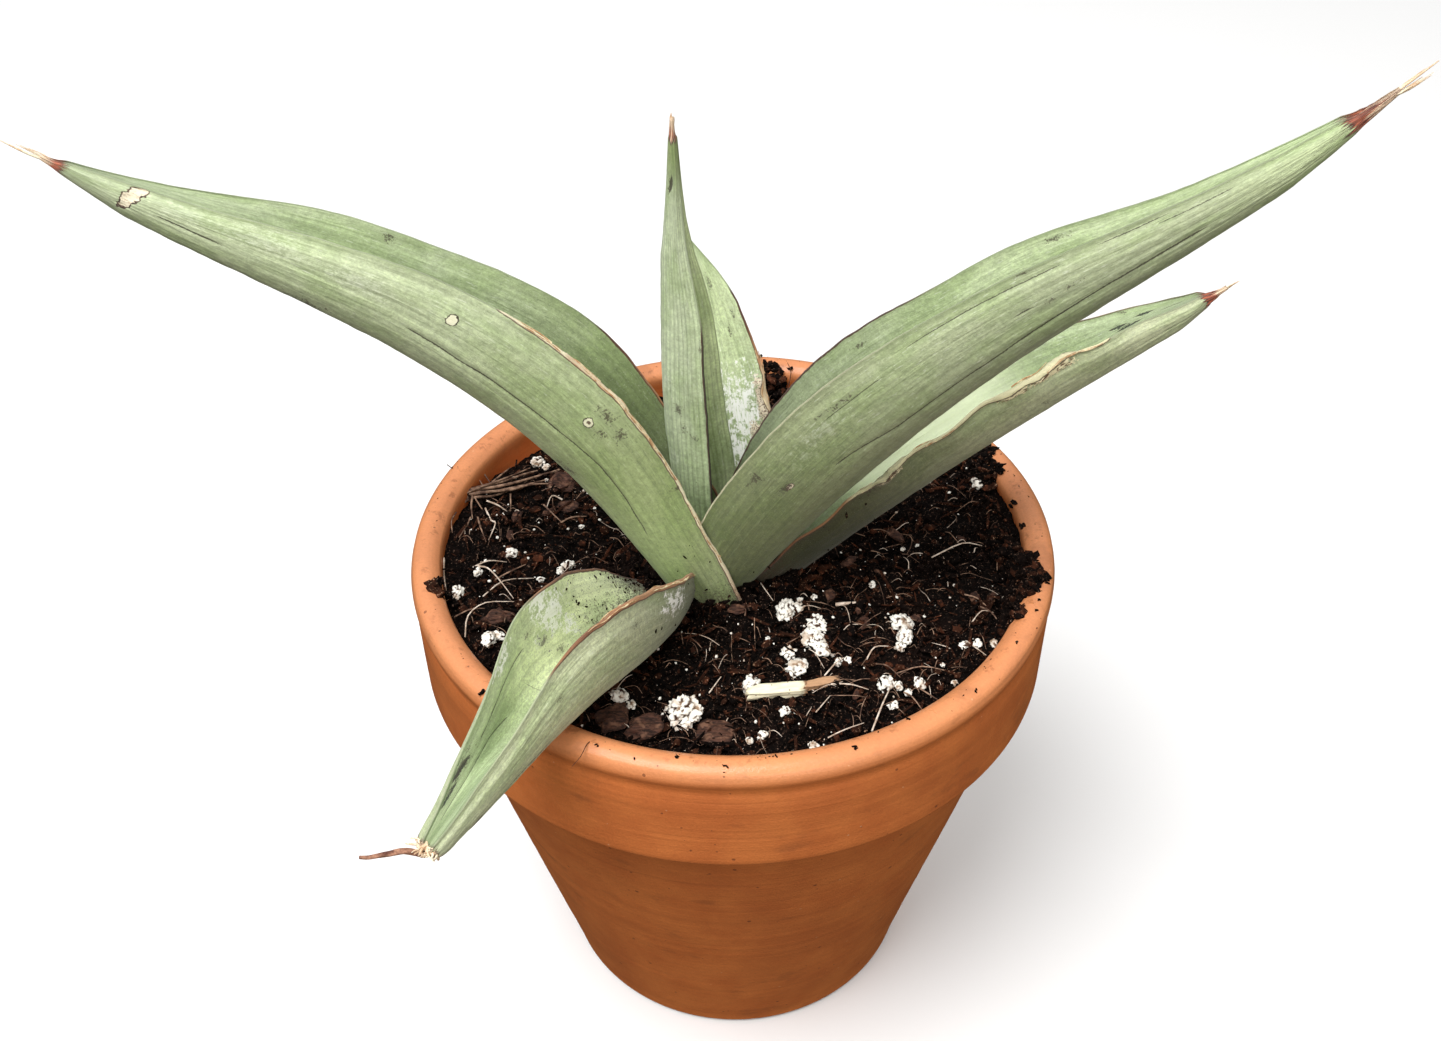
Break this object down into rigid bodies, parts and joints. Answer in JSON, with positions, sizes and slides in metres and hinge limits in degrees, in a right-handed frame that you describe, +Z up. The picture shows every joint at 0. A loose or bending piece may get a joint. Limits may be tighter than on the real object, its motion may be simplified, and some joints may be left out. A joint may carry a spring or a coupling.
{
  "type": "potted snake plant",
  "caption": "Young potted succulent with thick, folded, pointed leaves spreading from one crown, in dark soil in a tapered clay pot with a collar and rolled lip.",
  "frame": {"origin": "middle of the whole plant's outer box at the height of the pot's underside", "axes": "+Z up along the pot's axis, the front leaf leaning towards -Y, the two long leaves towards -X and +X"},
  "size_m": [0.165, 0.1206, 0.1848],
  "materials": {
    "leaf": "satin",
    "rootstock": "matte",
    "soil": "matte",
    "clay": "matte",
    "perlite": "matte",
    "bark": "matte",
    "root_fibre": "matte"
  },
  "bodies": {
    "root": {"leaf_left": "leaf", "leaf_right": "leaf", "leaf_lower": "leaf", "leaf_front": "leaf", "leaf_centre": "leaf", "leaf_back": "leaf", "rootstock": "rootstock", "soil": "soil", "pot": "clay"}
  },
  "joints": []
}
